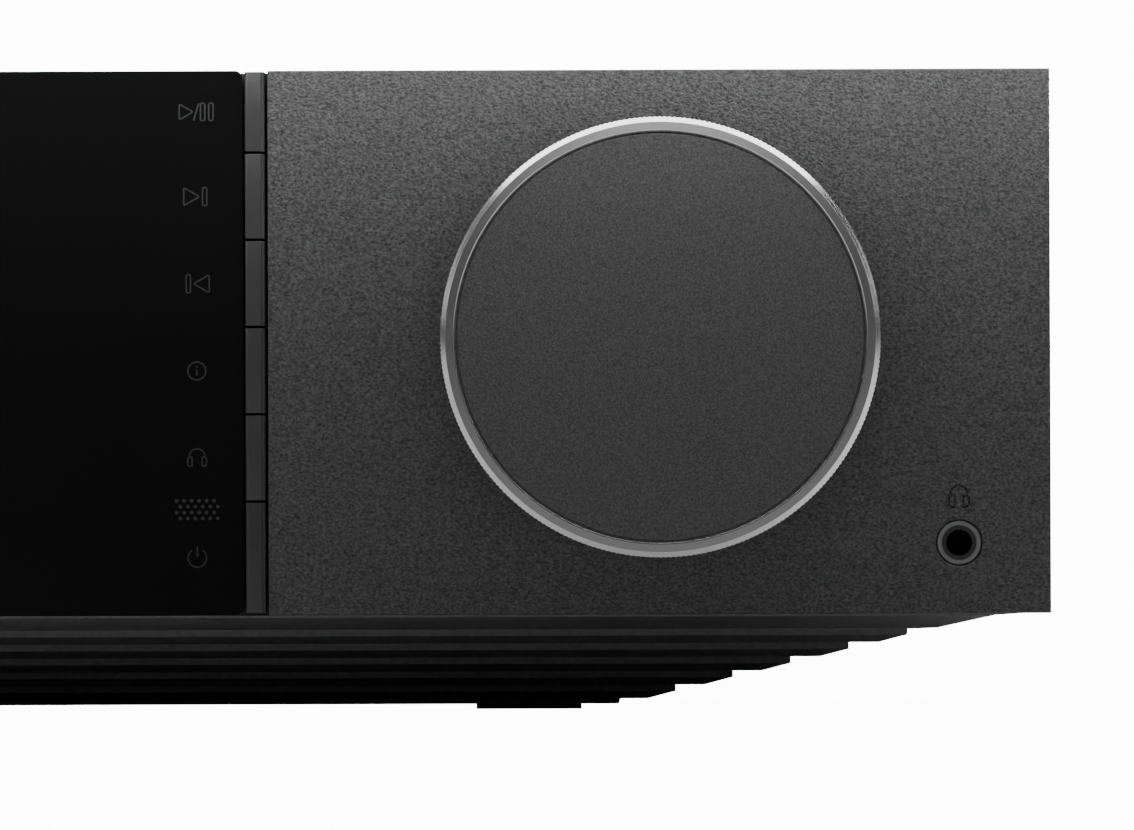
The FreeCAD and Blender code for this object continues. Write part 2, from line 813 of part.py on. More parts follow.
def amplifier_module():
    """Output stage: board, filter chokes and supply capacitors beside the heat sink."""
    parts = [flat_board((70, 148), (-20, 100))]
    for y in (0, 60):
        parts.append(standing_can(138, y, 9, 26))
        parts.append(standing_can(138, y + 22, 9, 26))
        parts.append(block((76, 94), (y, y + 18), (BOARD_TOP, BOARD_TOP + 12)))
    return join(parts)


def heat_sink():
    """Extruded sink: a foot and a spine with fins on both sides, under the vent slots."""
    x = (98, 122)
    y = (-14, 94)
    foot_top = BOARD_TOP + 4.4
    spine = 4.0
    fins, fin, pitch = 8, 1.6, 5.2
    top = foot_top + (fins + 1) * pitch - 0.8
    parts = [
        block(x, y, (BOARD_TOP, foot_top)),
        block(around(sum(x) / 2, spine), y, (foot_top, top)),
    ]
    for number in range(1, fins + 1):
        z = foot_top + number * pitch
        parts.append(block(x, y, (z, z + fin)))
    return join(parts)


def power_supply():
    """Mains supply: board, transformer and reservoir capacitors."""
    transformer = block((-132, -92), (-30, 14), (BOARD_TOP, 58))
    parts = [flat_board((-148, -60), (-60, 60)), rounded(transformer, 3.0, Z_AXIS)]
    parts += [standing_can(-74, y, 11, 34) for y in (-44, -18)]
    return join(parts)


def front_ribbon():
    """Flat cable from the button board, down to the tray and back to the main board."""
    start, width, half = 38.0, 10.0, 0.3
    board_y = SUBFRAME_Y[1] + BOARD
    low, high = 17.0, 30.0
    points = [
        (board_y, high),
        (board_y + 6.8, high),
        (board_y + 14.8, low),
        (60.0, low),
        (66.0, BOARD_Z + 1),
        (70.0, BOARD_Z + 1),
    ]
    upper = [Vector(start, y, z + half) for y, z in points]
    lower = [Vector(start, y, z - half) for y, z in reversed(points)]
    return prism(upper + lower, Vector(width, 0, 0))


def board_standoffs():
    """Six-sided pillars between the tray floor and the circuit boards."""
    places = [(-80, 74), (62, 74), (-80, 144), (62, 144)]
    places += [(74, -16), (144, -16), (74, 96), (144, 96)]
    places += [(-144, -56), (-64, -56), (-144, 56), (-64, 56)]
    bottom = BODY_BOTTOM + SHEET
    rise = Vector(0, 0, BOARD_Z - bottom)
    return group(
        [
            prism([Vector(x + a, y + b, bottom) for a, b in regular(6, STANDOFF_RADIUS)], rise)
            for x, y in places
        ]
    )


# ---- the assembly --------------------------------------------------------------------------
NODES = {
    "plinth": plinth(),
    "foot_pads": foot_pads(),
    "chassis_tray": chassis_tray(),
    "top_cover": top_cover(),
    "side_panel_left": side_panel(-1),
    "side_panel_right": side_panel(1),
    "fascia_panel": fascia_panel(),
    "display_glass": display_glass(),
    "display_module": display_module(),
    "display_bezel": display_bezel(),
    "button_guide": button_guide(),
    "front_subframe": front_subframe(),
    "button_board": button_board(),
    "button_switches": button_switches(),
    "knob_ring": knob_ring(),
    "knob_disc": knob_disc(),
    "knob_hub": knob_hub(),
    "volume_shaft": volume_shaft(),
    "source_ring": source_ring(),
    "ring_sleeve": ring_sleeve(),
    "volume_encoder": volume_encoder(),
    "control_board": control_board(),
    "headphone_jack": headphone_jack(),
    "jack_collar": jack_collar(),
    "rear_panel": rear_panel(),
    "ethernet_socket": ethernet_socket(),
    "usb_socket": usb_socket(),
    "hdmi_socket": hdmi_socket(),
    "optical_socket": optical_socket(),
    "rca_sockets": rca_sockets(),
    "antenna_sockets": antenna_sockets(),
    "speaker_posts": speaker_posts(),
    "terminal_plate": terminal_plate(),
    "mains_inlet": mains_inlet(),
    "rocker_frame": rocker_frame(),
    "power_rocker": power_rocker(),
    "main_board": main_board(),
    "streaming_module": streaming_module(),
    "amplifier_module": amplifier_module(),
    "heat_sink": heat_sink(),
    "power_supply": power_supply(),
    "board_standoffs": board_standoffs(),
    "panel_magnets": panel_magnets(),
    "front_ribbon": front_ribbon(),
}
for name, span in button_spans().items():
    NODES["button_" + name] = button(span)
for number, (x, z) in enumerate(POST_PLACES, 1):
    NODES["terminal_cap_%d" % number] = terminal_cap(x, z)

os.makedirs("parts", exist_ok=True)
for name, shape in NODES.items():
    assert shape.isValid(), name
    shape.exportStep("parts/%s.step" % name)
    print(name, len(shape.Solids), round(shape.Volume, 1))
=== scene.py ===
"""Looks of the desktop digital audio player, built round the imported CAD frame."""

import json
import math

import bmesh
import bpy
from mathutils import Matrix, Vector


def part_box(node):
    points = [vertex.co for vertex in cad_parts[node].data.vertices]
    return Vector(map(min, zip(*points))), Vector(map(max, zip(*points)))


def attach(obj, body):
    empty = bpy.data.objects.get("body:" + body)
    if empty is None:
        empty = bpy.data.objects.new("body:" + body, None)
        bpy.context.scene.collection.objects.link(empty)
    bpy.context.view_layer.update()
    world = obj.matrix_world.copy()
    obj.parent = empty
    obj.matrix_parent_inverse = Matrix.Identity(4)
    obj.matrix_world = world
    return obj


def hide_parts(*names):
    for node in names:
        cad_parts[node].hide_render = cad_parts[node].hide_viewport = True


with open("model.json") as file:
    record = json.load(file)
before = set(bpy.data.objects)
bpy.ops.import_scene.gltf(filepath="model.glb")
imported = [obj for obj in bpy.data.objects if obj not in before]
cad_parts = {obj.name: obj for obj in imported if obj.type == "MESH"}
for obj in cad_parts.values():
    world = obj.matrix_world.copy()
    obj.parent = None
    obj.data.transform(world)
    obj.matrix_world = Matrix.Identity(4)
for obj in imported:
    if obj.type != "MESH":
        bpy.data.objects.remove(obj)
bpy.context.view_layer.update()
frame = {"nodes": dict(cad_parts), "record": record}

MM = 0.001


# ---- reading the frame ---------------------------------------------------------------------
def centre(node):
    low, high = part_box(node)
    return (low + high) / 2


GLASS_LOW, GLASS_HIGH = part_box("display_glass")
FASCIA_LOW, FASCIA_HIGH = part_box("fascia_panel")
KNOB_LOW, KNOB_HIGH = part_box("knob_ring")
KNOB = centre("knob_ring")
KNOB_RADIUS = (KNOB_HIGH.x - KNOB_LOW.x) / 2
DISC_RADIUS = (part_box("knob_disc")[1].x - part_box("knob_disc")[0].x) / 2
JACK = centre("jack_collar")
FRONT_Y = GLASS_LOW.y


# ---- material nodes ------------------------------------------------------------------------
class Surface:
    """A Principled material whose colour, roughness and bump are built from nodes."""

    def __init__(self, name, colour, roughness, metallic=0.0, specular=0.5, coat=0.0):
        self.material = bpy.data.materials.new(name)
        self.material.use_nodes = True
        self.tree = self.material.node_tree
        self.shader = self.tree.nodes["Principled BSDF"]
        self.colour = colour
        self.set("Base Color", (*colour, 1.0))
        self.set("Roughness", roughness)
        self.set("Metallic", metallic)
        self.set("Specular IOR Level", specular)
        self.set("Coat Weight", coat)
        self.set("Coat Roughness", 0.08)
        self.place = self.tree.nodes.new("ShaderNodeTexCoord").outputs["Object"]

    def set(self, socket, value):
        self.shader.inputs[socket].default_value = value

    def link(self, source, target):
        self.tree.links.new(source, target)

    def noise(self, size, stretch=(1, 1, 1), detail=3.0, rough=0.5, distortion=0.0):
        """Noise whose features are about `size` metres across."""
        mapping = self.tree.nodes.new("ShaderNodeMapping")
        mapping.inputs["Scale"].default_value = [1 / axis for axis in stretch]
        self.link(self.place, mapping.inputs["Vector"])
        node = self.tree.nodes.new("ShaderNodeTexNoise")
        node.inputs["Scale"].default_value = 0.5 / size
        node.inputs["Detail"].default_value = detail
        node.inputs["Roughness"].default_value = rough
        node.inputs["Distortion"].default_value = distortion
        self.link(mapping.outputs["Vector"], node.inputs["Vector"])
        return node.outputs["Fac"]

    def spread(self, source, low, high, out_low, out_high):
        """Maps a value from one range to another."""
        node = self.tree.nodes.new("ShaderNodeMapRange")
        for socket, value in zip(
            ("From Min", "From Max", "To Min", "To Max"), (low, high, out_low, out_high)
        ):
            node.inputs[socket].default_value = value
        self.link(source, node.inputs["Value"])
        return node.outputs["Result"]

    def tint(self, source, darker, lighter):
        """Varies the colour between two multiples of the base colour."""
        node = self.tree.nodes.new("ShaderNodeMix")
        node.data_type = "RGBA"
        for socket, factor in (("A", darker), ("B", lighter)):
            inputs = [i for i in node.inputs if i.name == socket and i.type == "RGBA"]
            inputs[0].default_value = (*[channel * factor for channel in self.colour], 1.0)
        self.link(source, node.inputs["Factor"])
        result = [o for o in node.outputs if o.type == "RGBA"][0]
        self.link(result, self.shader.inputs["Base Color"])

    def roughen(self, source, low, high):
        self.link(self.spread(source, 0.3, 0.7, low, high), self.shader.inputs["Roughness"])

    def bump(self, source, height):
        """Adds relief of about `height` metres, and returns its node."""
        node = self.tree.nodes.new("ShaderNodeBump")
        node.inputs["Distance"].default_value = height
        node.inputs["Strength"].default_value = 1.0
        self.link(source, node.inputs["Height"])
        self.link(node.outputs["Normal"], self.shader.inputs["Normal"])
        return node


def grained_paint(name, colour, roughness, grain, height, stretch=(1, 1, 1), contrast=0.2):
    """Textured paint: rounded grains over a softer unevenness."""
    surface = Surface(name, colour, roughness)
    fine = surface.noise(grain, stretch, detail=2.5, rough=0.55, distortion=0.4)
    broad = surface.noise(grain * 9, detail=2.0)
    surface.tint(surface.spread(fine, 0.32, 0.68, 0, 1), 1 - contrast, 1 + contrast)
    surface.roughen(broad, roughness - 0.02, roughness + 0.02)
    surface.bump(fine, height)
    return surface.material


def blasted_metal(name, colour, roughness, grain, height):
    """Bead-blasted metal."""
    surface = Surface(name, colour, roughness, metallic=1.0)
    fine = surface.noise(grain, detail=3.0, rough=0.6)
    surface.tint(surface.spread(fine, 0.3, 0.7, 0, 1), 0.88, 1.06)
    surface.roughen(fine, roughness - 0.06, roughness + 0.06)
    surface.bump(fine, height)
    return surface.material


def turned_metal(name, colour, roughness, axis_centre, height=0.6e-6, metallic=1.0):
    """Lathe-cut metal with fine rings about the Y line through axis_centre."""
    surface = Surface(name, colour, roughness, metallic=metallic)
    mapping = surface.tree.nodes.new("ShaderNodeMapping")
    mapping.inputs["Location"].default_value = (-axis_centre.x, 0, -axis_centre.z)
    mapping.inputs["Scale"].default_value = (1, 0, 1)
    surface.link(surface.place, mapping.inputs["Vector"])
    length = surface.tree.nodes.new("ShaderNodeVectorMath")
    length.operation = "LENGTH"
    surface.link(mapping.outputs["Vector"], length.inputs[0])
    rings = surface.tree.nodes.new("ShaderNodeTexNoise")
    rings.noise_dimensions = "1D"
    rings.inputs["Scale"].default_value = 9000.0
    rings.inputs["Detail"].default_value = 2.0
    surface.link(length.outputs["Value"], rings.inputs["W"])
    surface.tint(surface.spread(rings.outputs["Fac"], 0.3, 0.7, 0, 1), 0.92, 1.05)
    surface.roughen(rings.outputs["Fac"], roughness - 0.05, roughness + 0.05)
    surface.bump(rings.outputs["Fac"], height)
    return surface.material


def moulded(name, colour, roughness, grain=0.25 * MM, height=4e-6, coat=0.0):
    """Moulded plastic or rubber with a faint spark-eroded grain."""
    surface = Surface(name, colour, roughness, coat=coat)
    fine = surface.noise(grain, detail=2.0)
    broad = surface.noise(grain * 40, detail=2.0)
    surface.tint(surface.spread(broad, 0.3, 0.7, 0, 1), 0.9, 1.12)
    surface.roughen(fine, roughness - 0.05, roughness + 0.05)
    surface.bump(fine, height)
    return surface.material


def polished_glass(name, colour):
    """Black-backed glass: glossy, with a trace of unevenness in its polish."""
    surface = Surface(name, colour, 0.06, specular=0.35)
    broad = surface.noise(18 * MM, detail=2.0)
    surface.tint(broad, 0.9, 1.1)
    surface.roughen(broad, 0.04, 0.09)
    return surface.material


def sheet_metal(name, colour, roughness, stretch=(12, 1, 1)):
    """Rolled sheet with fine lines along one axis."""
    surface = Surface(name, colour, roughness, metallic=1.0)
    lines = surface.noise(0.12 * MM, stretch, detail=3.0)
    surface.tint(surface.spread(lines, 0.3, 0.7, 0, 1), 0.85, 1.1)
    surface.roughen(lines, roughness - 0.08, roughness + 0.08)
    surface.bump(lines, 1.5e-6)
    return surface.material


def circuit_board(name):
    """Solder mask with copper tracks just showing through it."""
    surface = Surface(name, (0.012, 0.05, 0.03), 0.35)
    tracks = surface.tree.nodes.new("ShaderNodeTexBrick")
    tracks.inputs["Scale"].default_value = 160.0
    tracks.inputs["Mortar Size"].default_value = 0.03
    surface.link(surface.place, tracks.inputs["Vector"])
    surface.tint(tracks.outputs["Fac"], 0.8, 1.9)
    surface.bump(tracks.outputs["Fac"], 20e-6)
    return surface.material


def stepped_paint(name, colour):
    """Plinth paint: grained on the upright lips, smoother on the undersides."""
    surface = Surface(name, colour, 0.45, specular=0.5)
    geometry = surface.tree.nodes.new("ShaderNodeNewGeometry")
    split = surface.tree.nodes.new("ShaderNodeSeparateXYZ")
    surface.link(geometry.outputs["True Normal"], split.inputs[0])
    under = surface.spread(split.outputs["Z"], -0.1, -0.6, 0, 1)
    fine = surface.noise(0.3 * MM, (1.6, 1.6, 1), detail=2.5)
    surface.tint(surface.spread(fine, 0.3, 0.7, 0, 1), 0.85, 1.2)
    surface.link(surface.spread(under, 0, 1, 0.5, 0.33), surface.shader.inputs["Roughness"])
    bump = surface.bump(fine, 14e-6)
    strength = surface.spread(under, 0, 1, 1.0, 0.15)
    surface.link(strength, bump.inputs["Strength"])
    return surface.material


BRIGHT = (0.86, 0.86, 0.87)
# the band's blasted silver is darkened: painted shade, so that under the strong overhead light
# its lower side stays dark
SHADE_DARKENED_SILVER = (0.28, 0.28, 0.282)
PAPER_WHITE = 13.0  # how bright the floor and the room look to the camera
MATERIALS = {
    "fascia_grey": grained_paint(
        "fascia_grain",
        (0.060, 0.060, 0.061),
        0.42,
        0.16 * MM,
        130e-6,
        stretch=(1.35, 1, 1),
        contrast=0.75,
    ),
    # knob face paint is lighter than the fascia paint: painted light that makes up for the lamp
    # light the face gets less of
    "knob_grey": grained_paint(
        "knob_face", (0.080, 0.080, 0.081), 0.5, 0.13 * MM, 20e-6, contrast=0.5
    ),
    "knob_silver": blasted_metal("knob_blasted", BRIGHT, 0.42, 0.1 * MM, 9e-6),
    "knob_cut": turned_metal("knob_cut_edge", BRIGHT, 0.22, KNOB),
    "knob_band": blasted_metal("knob_band_painted_shade", SHADE_DARKENED_SILVER, 0.42, 0.1 * MM, 9e-6),
    "ring_black": grained_paint("source_ring_paint", (0.02, 0.02, 0.02), 0.42, 0.15 * MM, 6e-6),
    "display_glass": polished_glass("display_black", (0.007, 0.007, 0.0072)),
    "button_black": moulded("key_satin", (0.040, 0.040, 0.041), 0.42, 0.2 * MM, 2e-6),
    # the black plinth paint is given a mid grey: painted light standing in for the light the
    # steps get from the floor
    "plinth_black": stepped_paint("plinth_paint_lightened", (0.15, 0.15, 0.152)),
    "rubber_black": moulded("foot_rubber", (0.02, 0.02, 0.02), 0.8, 0.5 * MM, 25e-6),
    "steel_black": grained_paint("tray_paint", (0.02, 0.02, 0.02), 0.55, 0.3 * MM, 10e-6),
    "cover_black": grained_paint("cover_paint", (0.03, 0.03, 0.031), 0.5, 0.28 * MM, 14e-6),
    "side_black": moulded("side_panel_black", (0.02, 0.02, 0.02), 0.5, 0.3 * MM, 9e-6),
    "rear_black": grained_paint("rear_paint", (0.022, 0.022, 0.022), 0.55, 0.3 * MM, 12e-6),
    "plastic_black": moulded("plastic_black", (0.02, 0.02, 0.02), 0.45),
    "rocker_black": moulded("rocker_gloss", (0.02, 0.02, 0.02), 0.2, coat=0.3),
    "cap_red": moulded("cap_red", (0.32, 0.012, 0.012), 0.3, coat=0.2),
    "cap_black": moulded("cap_black", (0.018, 0.018, 0.018), 0.3, coat=0.2),
    "steel_bare": sheet_metal("zinc_plate", (0.55, 0.55, 0.56), 0.4),
    "screen_metal": sheet_metal("screen_back", (0.6, 0.6, 0.62), 0.4),
    "switch_metal": sheet_metal("tinned_small", (0.6, 0.6, 0.6), 0.35),
    "socket_metal": sheet_metal("tinned_shell", (0.62, 0.62, 0.63), 0.3),
    "contact_gold": turned_metal(
        "gold_plate", (0.83, 0.60, 0.27), 0.22, Vector((0, 0, 0)), 0.2e-6
    ),
    "brass_plain": turned_metal("brass_turned", (0.72, 0.52, 0.26), 0.3, KNOB),
    "jack_grey": turned_metal("jack_nickel", (0.20, 0.20, 0.205), 0.3, JACK, metallic=0.25),
    "jack_cut": turned_metal("jack_cut_edge", (0.45, 0.45, 0.455), 0.3, JACK, metallic=0.7),
    "sink_black": blasted_metal("sink_anodised", (0.05, 0.05, 0.05), 0.45, 0.2 * MM, 6e-6),
    "board_green": circuit_board("circuit_board"),
    "ribbon_grey": moulded("ribbon_insulation", (0.40, 0.40, 0.41), 0.5, 0.4 * MM, 6e-6),
    "symbol_grey": moulded("dim_symbols", (0.019, 0.022, 0.0225), 0.6, 0.2 * MM, 1e-6),
    "insulator_white": moulded("insulator_white", (0.62, 0.62, 0.60), 0.4),
    "insulator_red": moulded("insulator_red", (0.36, 0.015, 0.012), 0.4),
    "screw_black": turned_metal("screw_black", (0.05, 0.05, 0.05), 0.35, Vector((0, 0, 0))),
}


def dress_cad_nodes():
    """Gives each CAD node the finish of its material slot."""
    for subpart in frame["record"]["subparts"]:
        node = frame["nodes"][subpart["node"]]
        material = MATERIALS[subpart["material_slot"]]
        for slot in node.material_slots:
            slot.material = material
        if not node.material_slots:
            node.data.materials.append(material)


# ---- mesh pieces ---------------------------------------------------------------------------
def new_piece(name, mesh, materials, body, replaces=None):
    for material in materials:
        mesh.materials.append(material)
    piece = bpy.data.objects.new(name, mesh)
    bpy.context.scene.collection.objects.link(piece)
    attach(piece, body)
    if replaces:
        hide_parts(replaces)
    return piece


def mesh_from(bm, name, smooth_angle=35.0):
    bmesh.ops.recalc_face_normals(bm, faces=bm.faces)
    limit = math.radians(smooth_angle)
    for face in bm.faces:
        face.smooth = True
    for edge in bm.edges:
        edge.smooth = len(edge.link_faces) == 2 and edge.calc_face_angle(0.0) < limit
    mesh = bpy.data.meshes.new(name)
    bm.to_mesh(mesh)
    bm.free()
    return mesh


def knurled_ring():
    """Rim of the knob: cut chamfer, blasted band, inner bevel and straight knurl."""
    teeth = 276
    samples = 6
    depth = 0.11 * MM
    front = KNOB_LOW.y
    back = KNOB_HIGH.y
    chamfer = 0.75 * MM
    chamfer_inner = KNOB_RADIUS - chamfer
    chamfer_y = front + 0.3 * MM
    wall = 2.6 * MM
    hollow = front + 5.0 * MM
    web = front + 2.3 * MM
    hub_bore = 6 * MM
    inner = [
        (KNOB_RADIUS - wall, back),
        (KNOB_RADIUS - wall, hollow),
        (hub_bore, hollow),
        (hub_bore, web),
        (DISC_RADIUS + 0.05 * MM, web),
        (DISC_RADIUS + 0.05 * MM, front + 0.45 * MM),
        (DISC_RADIUS + 0.35 * MM, front + 0.04 * MM),
        (DISC_RADIUS + 0.45 * MM, front),
        (chamfer_inner, chamfer_y),
    ]
    blasted, cut, band = 0, 1, 2
    sides = [blasted] * 5 + [cut, cut, band, cut, blasted, blasted]
    bm = bmesh.new()
    rings = []
    for step in range(teeth * samples):
        angle = 2 * math.pi * step / (teeth * samples)
        phase = (step % samples) / samples
        radius = KNOB_RADIUS - depth * (0.5 - 0.5 * math.cos(2 * math.pi * phase)) ** 0.8
        outline = inner + [(radius, chamfer_y + radius - chamfer_inner), (radius, back)]
        rings.append(
            [
                bm.verts.new((KNOB.x + r * math.cos(angle), y, KNOB.z + r * math.sin(angle)))
                for r, y in outline
            ]
        )
    count = len(inner) + 2
    for here, there in zip(rings, rings[1:] + rings[:1]):
        for side in range(count):
            after = (side + 1) % count
            face = bm.faces.new((here[side], here[after], there[after], there[side]))
            face.material_index = sides[side]
    mesh = mesh_from(bm, "knurled_ring", 28.0)
    new_piece(
        "knurled_ring",
        mesh,
        # the band takes the darkened silver, painted shade for its lower side
        [MATERIALS["knob_silver"], MATERIALS["knob_cut"], MATERIALS["knob_band"]],
        "volume_knob",
        "knob_ring",
    )


def grown(bm, start):
    """Edges made since the mesh had `start` vertices."""
    bm.verts.ensure_lookup_table()
    fresh = set(bm.verts[start:])
    return [edge for edge in bm.edges if edge.verts[0] in fresh and edge.verts[1] in fresh]


def prism(bm, corners, along):
    """Closed prism swept from a flat outline."""
    near = [bm.verts.new(corner) for corner in corners]
    far = [bm.verts.new(Vector(corner) + Vector(along)) for corner in corners]
    bm.faces.new(near)
    bm.faces.new(far[::-1])
    for here in range(len(near)):
        there = (here + 1) % len(near)
        bm.faces.new((near[here], far[here], far[there], near[there]))


def soft_block(bm, low, high, bevel):
    """Block with rounded edges."""
    start = len(bm.verts)
    corners = [
        (low[0], low[1], low[2]),
        (high[0], low[1], low[2]),
        (high[0], high[1], low[2]),
        (low[0], high[1], low[2]),
    ]
    prism(bm, corners, (0, 0, high[2] - low[2]))
    bmesh.ops.bevel(
        bm, geom=grown(bm, start), offset=bevel, segments=2, profile=0.6, affect="EDGES"
    )


def spin(bm, base, axis, outline, segments=32, material=0, shape=None):
    """Closed solid turned about an axis through base.

    outline lists (radius, distance along the axis). shape(angle, radius) may change the radius.
    """
    axis = Vector(axis).normalized()
    across = axis.orthogonal().normalized()
    up = axis.cross(across)
    rings = []
    for step in range(segments):
        angle = 2 * math.pi * step / segments
        ray = math.cos(angle) * across + math.sin(angle) * up
        ring = []
        for radius, distance in outline:
            reach = shape(angle, radius) if shape else radius
            ring.append(bm.verts.new(Vector(base) + reach * ray + distance * axis))
        rings.append(ring)
    count = len(outline)
    for here, there in zip(rings, rings[1:] + rings[:1]):
        for side in range(count):
            after = (side + 1) % count
            face = bm.faces.new((here[side], here[after], there[after], there[side]))
            face.material_index = material


def strip(bm, points, width, y, depth, closed=True):
    """Band of even width along a flat run of (x, z) points, facing -Y."""
    count = len(points)
    sharpest = 0.4  # keeps the mitre of a sharp corner short
    sections = []
    for number, (x, z) in enumerate(points):
        before = points[(number - 1) % count] if closed or number else points[0]
        after = points[(number + 1) % count] if closed or number < count - 1 else points[-1]
        inward = Vector((x - before[0], z - before[1]))
        outward = Vector((after[0] - x, after[1] - z))
        inward = inward.normalized() if inward.length else outward.normalized()
        outward = outward.normalized() if outward.length else inward
        side = Vector((-inward.y - outward.y, inward.x + outward.x)).normalized()
        reach = width / 2 / max(side.dot(Vector((-inward.y, inward.x))), sharpest)
        corners = []
        for sign, place in ((1, y), (-1, y), (-1, y + depth), (1, y + depth)):
            corner = (x + sign * reach * side.x, place, z + sign * reach * side.y)
            corners.append(bm.verts.new(corner))
        sections.append(corners)
    pairs = list(zip(sections, sections[1:]))
    if closed:
        pairs.append((sections[-1], sections[0]))
    else:
        bm.faces.new(sections[0])
        bm.faces.new(sections[-1][::-1])
    for here, there in pairs:
        for corner in range(4):
            after = (corner + 1) % 4
            bm.faces.new((here[corner], here[after], there[after], there[corner]))


def arc(x, z, radius, start, end, steps):
    """Points of an arc, with angles in degrees from +X towards +Z."""
    return [
        (
            x + radius * math.cos(math.radians(start + (end - start) * step / steps)),
            z + radius * math.sin(math.radians(start + (end - start) * step / steps)),
        )
        for step in range(steps + 1)
    ]


def circle(x, z, radius, steps=32):
    return arc(x, z, radius, 0, 360 * (steps - 1) / steps, steps - 1)


# ---- keys and display ----------------------------------------------------------------------
KEYS = ("play", "next", "previous", "info", "output", "power")


def keys():
    """Six slim keys: a bevelled left edge, a crowned face and a sunk step on the right."""
    cap_depth = 4.3 * MM
    level = 1e-7  # an edge with ends this close in height is level
    for name in KEYS:
        low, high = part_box("button_" + name)
        front = low.y
        back = front + cap_depth
        profile = [
            (low.x, back),
            (low.x, front + 0.42 * MM),
            (low.x + 0.08 * MM, front + 0.22 * MM),
            (low.x + 0.30 * MM, front + 0.05 * MM),
            (low.x + 0.55 * MM, front),
            (high.x - 0.75 * MM, front),
            (high.x - 0.55 * MM, front + 0.06 * MM),
            (high.x - 0.42 * MM, front + 0.30 * MM),
            (high.x - 0.10 * MM, front + 0.36 * MM),
            (high.x, front + 0.50 * MM),
            (high.x, back),
        ]
        bm = bmesh.new()
        prism(bm, [(x, y, low.z) for x, y in profile], (0, 0, high.z - low.z))
        ends = [
            edge
            for edge in bm.edges
            if abs(edge.verts[0].co.z - edge.verts[1].co.z) < level
            and max(vert.co.y for vert in edge.verts) < front + 1 * MM
        ]
        bmesh.ops.bevel(
            bm, geom=ends, offset=0.13 * MM, segments=2, profile=0.6, affect="EDGES"
        )
        middle = (low + high) / 2
        stem = (0.7 * MM, 3.0 * MM)
        soft_block(
            bm,
            (middle.x - stem[0], back - 0.1 * MM, middle.z - stem[1]),
            (middle.x + stem[0], high.y, middle.z + stem[1]),
            0.1 * MM,
        )
        new_piece(
            "key_" + name,
            mesh_from(bm, "key_" + name, 40.0),
            [MATERIALS["button_black"]],
            name + "_button",
            "button_" + name,
        )


def softened(points, radius, steps=4):
    """Closed run of points with its corners rounded."""
    share = 2.2  # a corner takes at most 1/2.2 of the side next to it
    run = []
    for number, point in enumerate(points):
        corner = Vector(point)
        back = Vector(points[number - 1]) - corner
        onward = Vector(points[(number + 1) % len(points)]) - corner
        start = corner + back.normalized() * min(radius, back.length / share)
        end = corner + onward.normalized() * min(radius, onward.length / share)
        for step in range(steps + 1):
            t = step / steps
            place = (1 - t) ** 2 * start + 2 * t * (1 - t) * corner + t * t * end
            run.append((place.x, place.y))
    return run


def symbol_shapes(name, x, z):
    """Runs of points for one key's symbol, as (points, closed)."""

    def triangle(left, size):
        tip = (left + 1.75 * size * MM, z)
        return softened([(left, z - size * MM), tip, (left, z + size * MM)], 0.3 * MM)

    def bar(left, size, width=0.6):
        right = left + width * MM
        low, high = z - size * MM, z + size * MM
        return softened([(left, low), (right, low), (right, high), (left, high)], 0.25 * MM)

    if name == "play":
        start = x - 2.35 * MM
        slash = [(start + 2.0 * MM, z - 1.2 * MM), (start + 2.7 * MM, z + 1.2 * MM)]
        return [
            (triangle(start, 1.1), True),
            (slash, False),
            (bar(start + 2.95 * MM, 1.2), True),
            (bar(start + 4.1 * MM, 1.2), True),
        ]
    if name == "next":
        start = x - 1.75 * MM
        return [(triangle(start, 1.25), True), (bar(start + 2.6 * MM, 1.25), True)]
    if name == "previous":
        start = x - 1.75 * MM
        ahead = [triangle(start, 1.25), bar(start + 2.6 * MM, 1.25)]
        return [([(2 * x - px, pz) for px, pz in points], True) for points in ahead]
    if name == "info":
        return [
            (circle(x, z, 1.25 * MM), True),
            ([(x, z - 0.65 * MM), (x, z + 0.2 * MM)], False),
            ([(x, z + 0.5 * MM), (x, z + 0.68 * MM)], False),
        ]
    if name == "output":
        band = arc(x, z + 0.2 * MM, 1.1 * MM, 0, 180, 12)
        cups = [
            [
                (x + side * 1.1 * MM, z + 0.2 * MM),
                (x + side * 1.35 * MM, z - 0.3 * MM),
                (x + side * 1.2 * MM, z - 1.1 * MM),
                (x + side * 0.7 * MM, z - 1.1 * MM),
                (x + side * 0.7 * MM, z + 0.1 * MM),
            ]
            for side in (-1, 1)
        ]
        return [(band, False)] + [(cup, True) for cup in cups]
    return [
        (arc(x, z, 1.28 * MM, 125, 415, 26), False),
        ([(x, z + 0.2 * MM), (x, z + 1.55 * MM)], False),
    ]


def display_symbols():
    """Dim touch symbols beside the keys, and the dotted grid over the power symbol."""
    line = 0.21 * MM
    skin = 0.02 * MM
    y = GLASS_LOW.y - skin
    x = GLASS_HIGH.x - 6.4 * MM
    bm = bmesh.new()
    for name in KEYS:
        z = centre("button_" + name).z
        for points, closed in symbol_shapes(name, x, z):
            strip(bm, points, line, y, 2 * skin, closed)
    rows, columns = 4, 6
    pitch_x, pitch_z = 1.04 * MM, 0.82 * MM
    top = centre("button_output").z - 5.9 * MM
    for row in range(rows):
        shift = pitch_x / 4 * (1 if row % 2 else -1)
        for column in range(columns):
            dot_x = x + (column - (columns - 1) / 2) * pitch_x + shift
            outline = circle(dot_x, top - row * pitch_z, 0.27 * MM, 12)
            prism(bm, [(px, y, pz) for px, pz in outline], (0, 2 * skin, 0))
    new_piece(
        "display_symbols",
        mesh_from(bm, "display_symbols", 30.0),
        [MATERIALS["symbol_grey"]],
        "case",
    )


